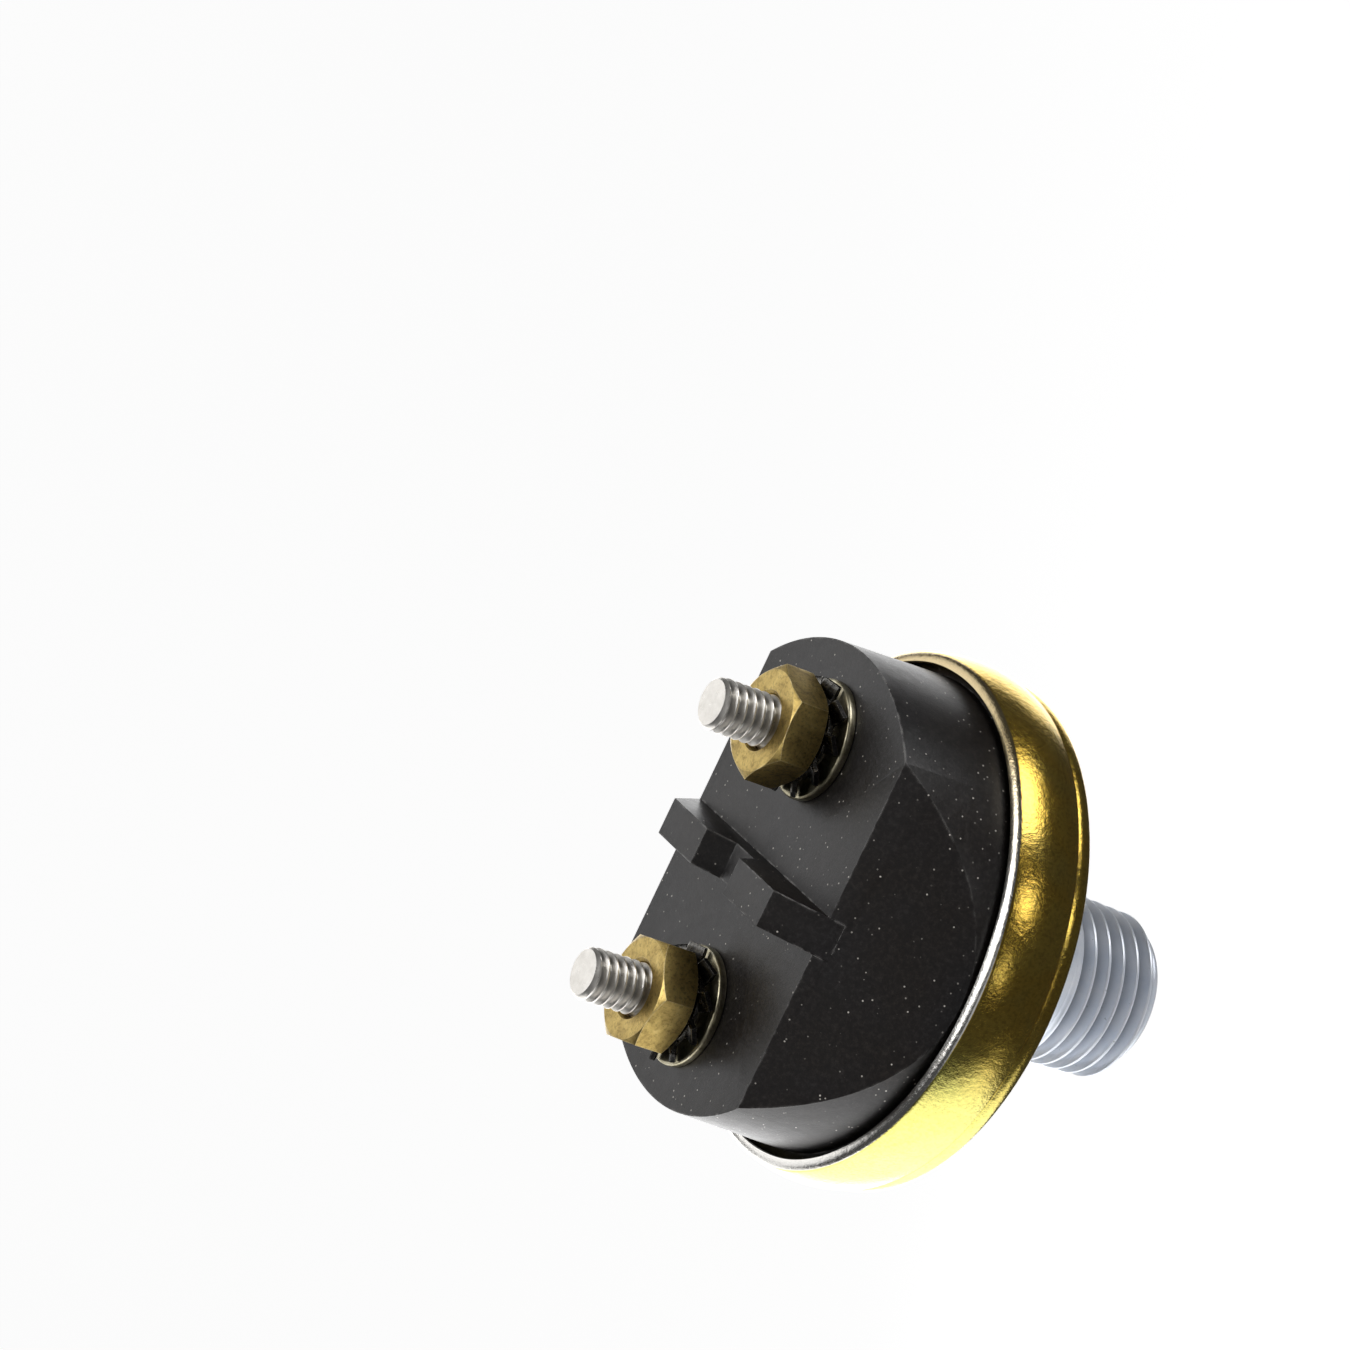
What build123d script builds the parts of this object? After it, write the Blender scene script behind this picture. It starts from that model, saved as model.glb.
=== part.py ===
"""Pressure switch with a tapered pipe thread, a crimped ring and two screw terminals.

The port's end face is centred on the origin and the switch rises along +Z. The terminals stand in
a row along Y, and the housing's two slanted flats face +X and -X. Every size is in millimetres.
"""
import os
from math import cos, radians, sin, sqrt

from build123d import *

os.makedirs("parts", exist_ok=True)

# Heights of the port side, above the port's end face
THREAD_TOP = 9.0
COLLAR_TOP = 10.7
HEX_FACE = 12.8
DISC_FACE = 18.9
DISC_RIM = 19.5
DISC_TOP = 21.5

# Tapered pipe thread
THREAD_PITCH = 1.411
THREAD_TIP_R = 6.63
THREAD_TAPER = 1 / 32
THREAD_DEPTH = 1.05
TIP_CHAMFER = 1.2
COLLAR_R = 6.9
NECK_R = 7.9
MOUTH_R = 3.65
ORIFICE_R = 0.55

# Hexagon and disc
HEX_FLATS = 19.05
HEX_CLOCKING = 94.0
HEX_CHAMFER = 0.75
DISC_FACE_R = 17.53
DISC_RIM_R = 18.2
DISC_R = 19.6
DISC_CORNER = 0.8
CHAMBER_R = 11.0
CHAMBER_DEPTH = 0.6

# Crimp ring, a rolled bead below and a bulging dome above
SHEET = 0.75
BEAD_EDGE_R = 18.27
BEAD_BOTTOM = 18.4
BEAD_EDGE_RISE = 0.32
BEAD_ROUND_R = 1.2
CREASE_R = 20.55
CREASE_Z = 20.05
BULGE_R = 20.98
BULGE_Z = 23.2
LIP_Z = 25.73
LIP_OUTER_R = 20.35
LIP_INNER_R = 19.58

# Moulded housing
FLANGE_BOTTOM = 23.3
FLANGE_TOP = 24.5
FLANGE_R = 19.9
BODY_LOW_R = 19.0
BODY_TOP_R = 18.73
HOUSING_TOP = 34.67
FLAT_HALF_WIDTH = 12.13
FLAT_SLOPE = 0.76
BARRIER_HEIGHT = 3.67
BARRIER_THICKNESS = 3.0
NOTCH_TOP_HALF = 3.05
NOTCH_FOOT_HALF = 1.55
NOTCH_DEPTH = 2.04
LOWER_CAVITY_R = 14.8
LEDGE_Z = 28.1
CEILING_Z = 32.2
UPPER_CAVITY_WIDTH = 15.0
UPPER_CAVITY_R = 14.9

# Terminals: 8-32 studs, one on each side of the barrier
TERMINAL_Y = 11.28
STUD_R = 2.083
STUD_TOP = 44.5
STUD_CHAMFER = 0.4
STUD_FREE_Z = 40.2
SHANK_R = 1.9
STUD_HOLE_R = 2.0
HEAD_R = 3.3
HEAD_THICKNESS = 1.3
SEAL_THICKNESS = 0.4
STUD_CONTACT_R = 1.5
STUD_CONTACT_THICKNESS = 0.35
WASHER_R = 4.76
WASHER_HOLE_R = 2.38
WASHER_THICKNESS = 0.7
LOCK_RING_R = 3.55
LOCK_TOOTH_R = 4.7
LOCK_HOLE_R = 2.2
LOCK_THICKNESS = 0.5
LOCK_BOTTOM = 35.4
LOCK_HEIGHT = 1.35
TOOTH_COUNT = 10
TOOTH_WIDTH = 1.75
TOOTH_TWIST = 32.0
NUT_FLATS = 7.94
NUT_BOTTOM = 36.8
NUT_HEIGHT = 3.1
NUT_HOLE_R = 2.12
NUT_CHAMFER = 0.42

# Inside, from the diaphragm up to the moving contacts
SEAL_INNER_R = 13.1
SEAL_OUTER_R = 15.1
SEAL_GROOVE = 1.2
CLAMP_R = 18.6
DIAPHRAGM = 0.2
DIAPHRAGM_RISE = 0.6
CONVOLUTION_OUTER_R = 11.4
CONVOLUTION_INNER_R = 9.8
STOP_PLATE_HOLE_R = 12.0
GASKET_THICKNESS = 0.3
GASKET_HOLE_R = 15.6
PLATE_R = 9.3
PLATE_THICKNESS = 1.1
TOUCH = 0.02
HUB_R = 3.0
HUB_TOP = 24.6
PLUNGER_R = 1.6
GUIDE_HOLE_R = 1.66
GUIDE_R = 14.75
GUIDE_BOTTOM = 27.2
BRIDGE_BOTTOM = 28.6
BRIDGE_THICKNESS = 0.6
BRIDGE_LENGTH = 26.0
BRIDGE_WIDTH = 6.0
BRIDGE_CONTACT_R = 1.6
CONTACT_GAP = 0.6
RANGE_COIL_R = 5.0
RANGE_WIRE_R = 0.5
RANGE_TURNS = 3
RETURN_COIL_R = 2.3
RETURN_WIRE_R = 0.2
RETURN_TURNS = 4


def turned(*outline):
    """Solid of revolution about Z, from (radius, height) corners."""
    corners = [(radius, 0, height) for radius, height in outline]
    return revolve(make_face(Polyline(*corners, close=True)), Axis.Z)


def disc(radius, low, high):
    """Plain cylinder about Z between two heights."""
    return Pos(0, 0, (low + high) / 2) * Cylinder(radius, high - low)


def washer(outer, inner, low, high):
    """Flat ring about Z between two heights."""
    return disc(outer, low, high) - disc(inner, low - 1, high + 1)


def hexagon(flats, clocking, low, high):
    """Hexagonal prism about Z with one corner at the clocking angle."""
    corner_r = flats / sqrt(3)
    corners = [
        (corner_r * cos(radians(clocking + 60 * i)), corner_r * sin(radians(clocking + 60 * i)))
        for i in range(6)
    ]
    return Pos(0, 0, low) * extrude(make_face(Polyline(*corners, close=True)), high - low)


def coil(mean_r, wire_r, turns, low, high):
    """Compression spring about Z between two seats, its wire ends clear of both."""
    pitch = (high - low - 2 * wire_r) / turns
    path = Pos(0, 0, low + wire_r) * Helix(pitch, pitch * turns, mean_r)
    section = Plane(origin=path @ 0, z_dir=path % 0) * Circle(wire_r)
    return sweep(section, path=path)


def pipe_thread_outline():
    """(radius, height) corners of the tapered thread, from the tip chamfer up to the collar."""
    def crest(height):
        return THREAD_TIP_R + THREAD_TAPER * height

    corners = [(crest(0) - TIP_CHAMFER, 0), (crest(TIP_CHAMFER), TIP_CHAMFER)]
    height = TIP_CHAMFER + THREAD_PITCH / 2
    while height + THREAD_PITCH / 2 < THREAD_TOP:
        corners += [
            (crest(height), height - THREAD_PITCH * 0.42),
            (crest(height) - THREAD_DEPTH, height - THREAD_PITCH * 0.04),
            (crest(height) - THREAD_DEPTH, height + THREAD_PITCH * 0.04),
            (crest(height), height + THREAD_PITCH * 0.42),
        ]
        height += THREAD_PITCH
    return corners


def base_fitting():
    body = turned(
        (0, 0), *pipe_thread_outline(), (COLLAR_R, THREAD_TOP), (COLLAR_R, COLLAR_TOP),
        (NECK_R, HEX_FACE), (NECK_R, DISC_FACE), (DISC_FACE_R, DISC_FACE), (DISC_RIM_R, DISC_RIM),
        (DISC_R - DISC_CORNER, DISC_RIM), (DISC_R, DISC_RIM + DISC_CORNER), (DISC_R, DISC_TOP),
        (0, DISC_TOP),
    )
    corner_r = HEX_FLATS / sqrt(3)
    hex_envelope = turned(
        (0, HEX_FACE), (corner_r - HEX_CHAMFER * sqrt(3), HEX_FACE),
        (corner_r, HEX_FACE + HEX_CHAMFER), (corner_r, DISC_FACE + 1), (0, DISC_FACE + 1),
    )
    body += hexagon(HEX_FLATS, HEX_CLOCKING, HEX_FACE, DISC_FACE + 1) & hex_envelope
    mouth_depth = MOUTH_R - ORIFICE_R
    body -= turned((0, -1), (MOUTH_R + 1, -1), (ORIFICE_R, mouth_depth), (0, mouth_depth))
    body -= disc(ORIFICE_R, 0, DISC_TOP)
    body -= disc(CHAMBER_R, DISC_TOP - CHAMBER_DEPTH, DISC_TOP + 1)
    body -= washer(SEAL_OUTER_R, SEAL_INNER_R, DISC_TOP - SEAL_GROOVE, DISC_TOP + 1)
    return body


def crimp_ring():
    bead_turn_z = BEAD_BOTTOM + BEAD_ROUND_R
    bead_centre_r = CREASE_R - BEAD_ROUND_R
    slant = BEAD_ROUND_R * sqrt(0.5)
    inner_slant = (BEAD_ROUND_R - SHEET) * sqrt(0.5)
    edge_z = BEAD_BOTTOM + BEAD_EDGE_RISE

    def at(radius, height):
        return (radius, 0, height)

    outline = [
        Line(at(BEAD_EDGE_R, edge_z), at(bead_centre_r, BEAD_BOTTOM)),
        ThreePointArc(
            at(bead_centre_r, BEAD_BOTTOM), at(bead_centre_r + slant, bead_turn_z - slant),
            at(CREASE_R, bead_turn_z)),
        Line(at(CREASE_R, bead_turn_z), at(CREASE_R, CREASE_Z)),
        ThreePointArc(at(CREASE_R, CREASE_Z), at(BULGE_R, BULGE_Z), at(LIP_OUTER_R, LIP_Z)),
        Line(at(LIP_OUTER_R, LIP_Z), at(LIP_INNER_R, LIP_Z)),
        ThreePointArc(
            at(LIP_INNER_R, LIP_Z), at(BULGE_R - SHEET, BULGE_Z), at(CREASE_R - SHEET, CREASE_Z)),
        Line(at(CREASE_R - SHEET, CREASE_Z), at(CREASE_R - SHEET, bead_turn_z)),
        ThreePointArc(
            at(CREASE_R - SHEET, bead_turn_z),
            at(bead_centre_r + inner_slant, bead_turn_z - inner_slant),
            at(bead_centre_r, BEAD_BOTTOM + SHEET)),
        Line(at(bead_centre_r, BEAD_BOTTOM + SHEET), at(BEAD_EDGE_R, edge_z + SHEET)),
        Line(at(BEAD_EDGE_R, edge_z + SHEET), at(BEAD_EDGE_R, edge_z)),
    ]
    return revolve(make_face(outline), Axis.Z)


def flat_x(height):
    """Distance of the slanted flats from the centre plane at a height."""
    return FLAT_HALF_WIDTH + FLAT_SLOPE * (HOUSING_TOP - height)


def prism_along_y(corners, length):
    """Prism centred on the XZ plane, from (x, z) corners."""
    outline = Polyline(*[(x, 0, z) for x, z in corners], close=True)
    return extrude(make_face(outline), length / 2, dir=(0, 1, 0), both=True)


def housing():
    body = turned(
        (0, FLANGE_BOTTOM), (FLANGE_R, FLANGE_BOTTOM), (FLANGE_R, FLANGE_TOP),
        (BODY_LOW_R, FLANGE_TOP + 0.5), (BODY_LOW_R, LIP_Z), (BODY_TOP_R, HOUSING_TOP),
        (0, HOUSING_TOP),
    )
    reach = FLANGE_R + 2
    flat_foot = HOUSING_TOP - (FLANGE_R - FLAT_HALF_WIDTH) / FLAT_SLOPE
    for side in (-1, 1):
        offcut = [
            (side * FLAT_HALF_WIDTH, HOUSING_TOP), (side * flat_x(HOUSING_TOP + 2), HOUSING_TOP + 2),
            (side * reach, HOUSING_TOP + 2), (side * reach, flat_foot), (side * FLANGE_R, flat_foot),
        ]
        body -= prism_along_y(offcut, 2 * reach)
    barrier_top = HOUSING_TOP + BARRIER_HEIGHT
    notch_floor = barrier_top - NOTCH_DEPTH
    body += prism_along_y(
        [
            (-FLAT_HALF_WIDTH, HOUSING_TOP), (-flat_x(barrier_top), barrier_top),
            (-NOTCH_TOP_HALF, barrier_top), (-NOTCH_FOOT_HALF, notch_floor),
            (NOTCH_FOOT_HALF, notch_floor), (NOTCH_TOP_HALF, barrier_top),
            (flat_x(barrier_top), barrier_top), (FLAT_HALF_WIDTH, HOUSING_TOP),
        ],
        BARRIER_THICKNESS,
    )
    body -= disc(LOWER_CAVITY_R, FLANGE_BOTTOM - 1, LEDGE_Z)
    contact_space = Pos(0, 0, (LEDGE_Z + CEILING_Z) / 2) * Box(
        UPPER_CAVITY_WIDTH, 2 * UPPER_CAVITY_R, CEILING_Z - LEDGE_Z)
    body -= contact_space & disc(UPPER_CAVITY_R, LEDGE_Z - 1, CEILING_Z)
    for side in (-1, 1):
        body -= Pos(0, side * TERMINAL_Y, 0) * disc(STUD_HOLE_R, CEILING_Z - 1, HOUSING_TOP + 1)
    return body


def seal_ring():
    return washer(SEAL_OUTER_R, SEAL_INNER_R, DISC_TOP - SEAL_GROOVE, DISC_TOP)


def diaphragm():
    crown = DISC_TOP + DIAPHRAGM_RISE
    return turned(
        (0, crown), (CONVOLUTION_INNER_R, crown), (CONVOLUTION_OUTER_R, DISC_TOP),
        (CLAMP_R, DISC_TOP), (CLAMP_R, DISC_TOP + DIAPHRAGM),
        (CONVOLUTION_OUTER_R + DIAPHRAGM / 2, DISC_TOP + DIAPHRAGM),
        (CONVOLUTION_INNER_R + DIAPHRAGM / 2, crown + DIAPHRAGM), (0, crown + DIAPHRAGM),
    )


def stop_plate():
    return washer(
        CLAMP_R, STOP_PLATE_HOLE_R, DISC_TOP + DIAPHRAGM, FLANGE_BOTTOM - GASKET_THICKNESS)


def housing_gasket():
    return washer(CLAMP_R, GASKET_HOLE_R, FLANGE_BOTTOM - GASKET_THICKNESS, FLANGE_BOTTOM)


def pressure_plate_top():
    return DISC_TOP + DIAPHRAGM_RISE + DIAPHRAGM + TOUCH + PLATE_THICKNESS


def pressure_plate():
    top = pressure_plate_top()
    return disc(PLATE_R, top - PLATE_THICKNESS, top) + disc(HUB_R, top, HUB_TOP)


def plunger():
    return disc(PLUNGER_R, HUB_TOP, BRIDGE_BOTTOM)


def guide_plate():
    return washer(GUIDE_R, GUIDE_HOLE_R, GUIDE_BOTTOM, LEDGE_Z)


def range_spring():
    return coil(RANGE_COIL_R, RANGE_WIRE_R, RANGE_TURNS, pressure_plate_top(), GUIDE_BOTTOM)


def contact_bridge():
    middle = BRIDGE_BOTTOM + BRIDGE_THICKNESS / 2
    bar = Pos(0, 0, middle) * Box(BRIDGE_WIDTH, BRIDGE_LENGTH, BRIDGE_THICKNESS)
    return fillet(bar.edges().filter_by(Axis.Z), BRIDGE_WIDTH * 0.3)


def stud_contact_bottom():
    return CEILING_Z - SEAL_THICKNESS - HEAD_THICKNESS - STUD_CONTACT_THICKNESS


def bridge_contacts():
    low = BRIDGE_BOTTOM + BRIDGE_THICKNESS
    tip = disc(BRIDGE_CONTACT_R, low, stud_contact_bottom() - CONTACT_GAP)
    return Compound(children=[Pos(0, side * TERMINAL_Y, 0) * tip for side in (-1, 1)])


def return_spring():
    return coil(
        RETURN_COIL_R, RETURN_WIRE_R, RETURN_TURNS, BRIDGE_BOTTOM + BRIDGE_THICKNESS, CEILING_Z)


def terminal_stud():
    """Headed stud, at its full thread size on the free end above the nut."""
    head_top = CEILING_Z - SEAL_THICKNESS
    return turned(
        (0, head_top - HEAD_THICKNESS), (HEAD_R, head_top - HEAD_THICKNESS), (HEAD_R, head_top),
        (SHANK_R, head_top), (SHANK_R, STUD_FREE_Z), (STUD_R, STUD_FREE_Z),
        (STUD_R, STUD_TOP - STUD_CHAMFER), (STUD_R - STUD_CHAMFER, STUD_TOP), (0, STUD_TOP),
    )


def stud_contact():
    low = stud_contact_bottom()
    return disc(STUD_CONTACT_R, low, low + STUD_CONTACT_THICKNESS)


def stud_seal():
    return washer(HEAD_R, STUD_HOLE_R, CEILING_Z - SEAL_THICKNESS, CEILING_Z)


def flat_washer():
    return washer(WASHER_R, WASHER_HOLE_R, HOUSING_TOP, HOUSING_TOP + WASHER_THICKNESS)


def lock_washer():
    """External-tooth lock washer, each tooth twisted about its own radius."""
    middle = LOCK_BOTTOM + LOCK_HEIGHT / 2
    body = washer(LOCK_RING_R, LOCK_HOLE_R, middle - LOCK_THICKNESS / 2, middle + LOCK_THICKNESS / 2)
    root_r = LOCK_RING_R - 0.35
    tooth = Pos((root_r + LOCK_TOOTH_R) / 2, 0, 0) * Rot(TOOTH_TWIST, 0, 0) * Box(
        LOCK_TOOTH_R - root_r, TOOTH_WIDTH, LOCK_THICKNESS)
    for i in range(TOOTH_COUNT):
        body += Pos(0, 0, middle) * Rot(0, 0, i * 360 / TOOTH_COUNT) * tooth
    return body


def terminal_nut(clocking):
    corner_r = NUT_FLATS / sqrt(3)
    top = NUT_BOTTOM + NUT_HEIGHT
    envelope = turned(
        (NUT_HOLE_R, NUT_BOTTOM + NUT_CHAMFER / 2), (NUT_HOLE_R + NUT_CHAMFER / 2, NUT_BOTTOM),
        (corner_r - NUT_CHAMFER * sqrt(2), NUT_BOTTOM), (corner_r, NUT_BOTTOM + NUT_CHAMFER),
        (corner_r, top - NUT_CHAMFER), (corner_r - NUT_CHAMFER * sqrt(2), top),
        (NUT_HOLE_R + NUT_CHAMFER / 2, top), (NUT_HOLE_R, top - NUT_CHAMFER / 2),
    )
    return hexagon(NUT_FLATS, clocking, NUT_BOTTOM, top) & envelope


nodes = {
    "base_fitting": base_fitting(),
    "crimp_ring": crimp_ring(),
    "housing": housing(),
    "seal_ring": seal_ring(),
    "diaphragm": diaphragm(),
    "stop_plate": stop_plate(),
    "housing_gasket": housing_gasket(),
    "pressure_plate": pressure_plate(),
    "plunger": plunger(),
    "guide_plate": guide_plate(),
    "range_spring": range_spring(),
    "contact_bridge": contact_bridge(),
    "bridge_contacts": bridge_contacts(),
    "return_spring": return_spring(),
}
for letter, side, clocking in (("a", 1, 100.3), ("b", -1, 73.7)):
    place = Pos(0, side * TERMINAL_Y, 0)
    nodes[f"terminal_stud_{letter}"] = place * terminal_stud()
    nodes[f"stud_contact_{letter}"] = place * stud_contact()
    nodes[f"stud_seal_{letter}"] = place * stud_seal()
    nodes[f"flat_washer_{letter}"] = place * flat_washer()
    nodes[f"lock_washer_{letter}"] = place * lock_washer()
    nodes[f"terminal_nut_{letter}"] = place * terminal_nut(clocking)

for name, shape in nodes.items():
    export_step(shape, f"parts/{name}.step")
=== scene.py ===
import math

import bmesh
import bpy
from mathutils import Matrix, Vector


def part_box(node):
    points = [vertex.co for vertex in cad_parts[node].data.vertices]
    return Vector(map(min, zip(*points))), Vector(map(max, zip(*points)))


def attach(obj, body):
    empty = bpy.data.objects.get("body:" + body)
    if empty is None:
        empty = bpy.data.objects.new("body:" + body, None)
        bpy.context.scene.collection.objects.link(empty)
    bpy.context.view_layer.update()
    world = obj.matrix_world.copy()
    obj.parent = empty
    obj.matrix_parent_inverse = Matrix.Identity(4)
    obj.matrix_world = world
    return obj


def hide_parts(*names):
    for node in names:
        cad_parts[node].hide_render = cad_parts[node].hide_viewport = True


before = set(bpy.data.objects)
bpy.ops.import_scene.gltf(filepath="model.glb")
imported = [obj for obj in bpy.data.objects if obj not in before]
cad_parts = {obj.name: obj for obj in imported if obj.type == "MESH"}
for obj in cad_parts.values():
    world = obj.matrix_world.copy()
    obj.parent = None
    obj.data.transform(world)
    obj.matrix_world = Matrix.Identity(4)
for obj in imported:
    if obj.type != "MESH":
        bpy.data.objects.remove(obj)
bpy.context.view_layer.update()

# Lengths are millimetres in the row frame, and meshes are scaled to metres when made. The floor, the
# lights and the camera are in metres.
MM = 0.001
TAU = 2 * math.pi
ROOT_BODY = "switch_body"
TERMINALS = {"a": 1, "b": -1}
SMOOTH_ANGLE = math.radians(32)
WELD = 1e-8


def box_mm(node):
    low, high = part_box(node)
    return [c / MM for c in low], [c / MM for c in high]


def heights(node):
    low, high = box_mm(node)
    return low[2], high[2]


def radius_of(node):
    low, high = box_mm(node)
    return (high[0] - low[0]) / 2


TERMINAL_Y = box_mm("terminal_stud_a")[1][1] - radius_of("terminal_stud_a")
HOUSING_TOP = heights("flat_washer_a")[0]
DISC_TOP = heights("base_fitting")[1]
RING_BOTTOM, LIP_Z = heights("crimp_ring")
RING_R = radius_of("crimp_ring")


# ---------------------------------------------------------------- mesh building

def add_lathe(bm, profile, segments, closed=False):
    """Surface of revolution about Z. A profile point is (radius, height); radius 0 is a pole."""
    rings = []
    for radius, height in profile:
        if radius == 0:
            rings.append([bm.verts.new((0, 0, height * MM))])
            continue
        rings.append([
            bm.verts.new((radius * MM * math.cos(TAU * i / segments),
                          radius * MM * math.sin(TAU * i / segments), height * MM))
            for i in range(segments)
        ])
    pairs = list(zip(rings, rings[1:]))
    if closed:
        pairs.append((rings[-1], rings[0]))
    for low, high in pairs:
        for i in range(segments):
            j = (i + 1) % segments
            corners = [low[i % len(low)], low[j % len(low)], high[j % len(high)], high[i % len(high)]]
            face = list(dict.fromkeys(corners))
            if len(face) > 2:
                bm.faces.new(face)


def add_thread(bm, crest, depth, pitch, low, high, segments, rows=12):
    """Right-handed thread about Z. crest(z) and depth(z) give the crest radius and the groove's depth."""
    first, last = -rows, math.ceil((high - low) / pitch * rows) + rows
    grid = []
    for k in range(first, last + 1):
        ring = []
        for i in range(segments):
            z = min(high, max(low, low + (k / rows + i / segments) * pitch))
            radius = crest(z) - depth(z) * groove(k / rows)
            angle = TAU * i / segments
            x, y = radius * math.cos(angle), radius * math.sin(angle)
            ring.append(bm.verts.new((x * MM, y * MM, z * MM)))
        grid.append(ring)
    for k in range(len(grid) - 1):
        for i in range(segments):
            wraps = i + 1 == segments
            j, up = (0, rows) if wraps else (i + 1, 0)
            if k + up + 1 >= len(grid):
                continue
            face = [grid[k][i], grid[k + up][j], grid[k + up + 1][j], grid[k + 1][i]]
            if max(v.co.z for v in face) - min(v.co.z for v in face) > 1e-9:
                bm.faces.new(face)


def groove(phase):
    """Depth of a 60 degree thread, from 0 on the crest to 1 in the root, rounded at both."""
    away = abs((phase % 1.0) - 0.5) * 2
    ramp = min(1.0, max(0.0, (0.88 - away) / 0.76))
    return ramp * 0.82 + ramp * ramp * (3 - 2 * ramp) * 0.18


def rounded(corners, radius, steps=4):
    """The outline with each inner corner replaced by an arc. A corner can state its own radius."""
    outline = [corners[0][:2]]
    for before, corner, after in zip(corners, corners[1:], corners[2:]):
        here = Vector(corner[:2])
        one, two = Vector(before[:2]) - here, Vector(after[:2]) - here
        turn = one.angle(two)
        wanted = corner[2] if len(corner) > 2 else radius
        reach = min(wanted / math.tan(turn / 2), one.length * 0.45, two.length * 0.45)
        if reach < 1e-4 or turn > math.radians(178):
            outline.append(tuple(here))
            continue
        start, end = here + one.normalized() * reach, here + two.normalized() * reach
        for s in range(steps + 1):
            t = s / steps
            point = start * (1 - t) ** 2 + here * 2 * t * (1 - t) + end * t * t
            outline.append(tuple(point))
    outline.append(corners[-1][:2])
    return outline


def arc(start, middle, end, steps):
    """Points of the circle through three (radius, height) points, without the last."""
    (ax, ay), (bx, by), (cx, cy) = start, middle, end
    d = 2 * (ax * (by - cy) + bx * (cy - ay) + cx * (ay - by))
    ux = ((ax**2 + ay**2) * (by - cy) + (bx**2 + by**2) * (cy - ay) + (cx**2 + cy**2) * (ay - by)) / d
    uy = ((ax**2 + ay**2) * (cx - bx) + (bx**2 + by**2) * (ax - cx) + (cx**2 + cy**2) * (bx - ax)) / d
    radius = math.hypot(ax - ux, ay - uy)
    first, last = math.atan2(ay - uy, ax - ux), math.atan2(cy - uy, cx - ux)
    sweep = (last - first + math.pi) % TAU - math.pi
    angles = [first + sweep * s / steps for s in range(steps)]
    return [(ux + radius * math.cos(a), uy + radius * math.sin(a)) for a in angles]


def finished(bm, name, centre_y=0.0):
    """The mesh as an object in the scene, smooth but for its sharp edges."""
    bmesh.ops.remove_doubles(bm, verts=bm.verts, dist=WELD)
    bmesh.ops.dissolve_degenerate(bm, edges=bm.edges, dist=WELD)
    bmesh.ops.recalc_face_normals(bm, faces=bm.faces)
    bmesh.ops.translate(bm, verts=bm.verts, vec=(0, centre_y * MM, 0))
    mesh = bpy.data.meshes.new(name)
    bm.to_mesh(mesh)
    bm.free()
    obj = bpy.data.objects.new(name, mesh)
    bpy.context.scene.collection.objects.link(obj)
    shade(obj)
    return obj


def shade(obj):
    obj.data.polygons.foreach_set("use_smooth", [True] * len(obj.data.polygons))
    obj.data.set_sharp_from_angle(angle=SMOOTH_ANGLE)


def lathe_object(name, profile, segments=192, centre_y=0.0, closed=True):
    bm = bmesh.new()
    add_lathe(bm, profile, segments, closed)
    return finished(bm, name, centre_y)


def prism_object(name, corners, low, high):
    """Prism about Z from (x, y) corners."""
    bm = bmesh.new()
    base = bm.faces.new([bm.verts.new((x * MM, y * MM, low * MM)) for x, y in corners])
    lifted = bmesh.ops.extrude_face_region(bm, geom=[base])["geom"]
    raised = [v for v in lifted if isinstance(v, bmesh.types.BMVert)]
    bmesh.ops.translate(bm, verts=raised, vec=(0, 0, (high - low) * MM))
    return finished(bm, name)


def apply_modifiers(obj):
    """Bakes the modifiers into the mesh."""
    graph = bpy.context.evaluated_depsgraph_get()
    mesh = bpy.data.meshes.new_from_object(obj.evaluated_get(graph))
    obj.modifiers.clear()
    obj.data = mesh
    shade(obj)


def boolean(obj, other, operation):
    """Combines obj with other, which is used up."""
    modifier = obj.modifiers.new(operation, "BOOLEAN")
    modifier.object, modifier.operation, modifier.solver = other, operation, "EXACT"
    bpy.context.view_layer.update()
    apply_modifiers(obj)
    bpy.data.objects.remove(other)


def bevel(obj, width, segments=3, angle=25):
    """Rounds the edges sharper than an angle, in degrees, by a width in millimetres."""
    modifier = obj.modifiers.new("edges", "BEVEL")
    modifier.width, modifier.segments = width * MM, segments
    modifier.limit_method, modifier.angle_limit = "ANGLE", math.radians(angle)
    modifier.use_clamp_overlap = True
    modifier.harden_normals = False
    bpy.context.view_layer.update()
    apply_modifiers(obj)


def hexagon(flats, clocking):
    corner_r = flats / math.sqrt(3)
    angles = [math.radians(clocking + 60 * i) for i in range(6)]
    return [(corner_r * math.cos(a), corner_r * math.sin(a)) for a in angles]


# ---------------------------------------------------------------- materials

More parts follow.
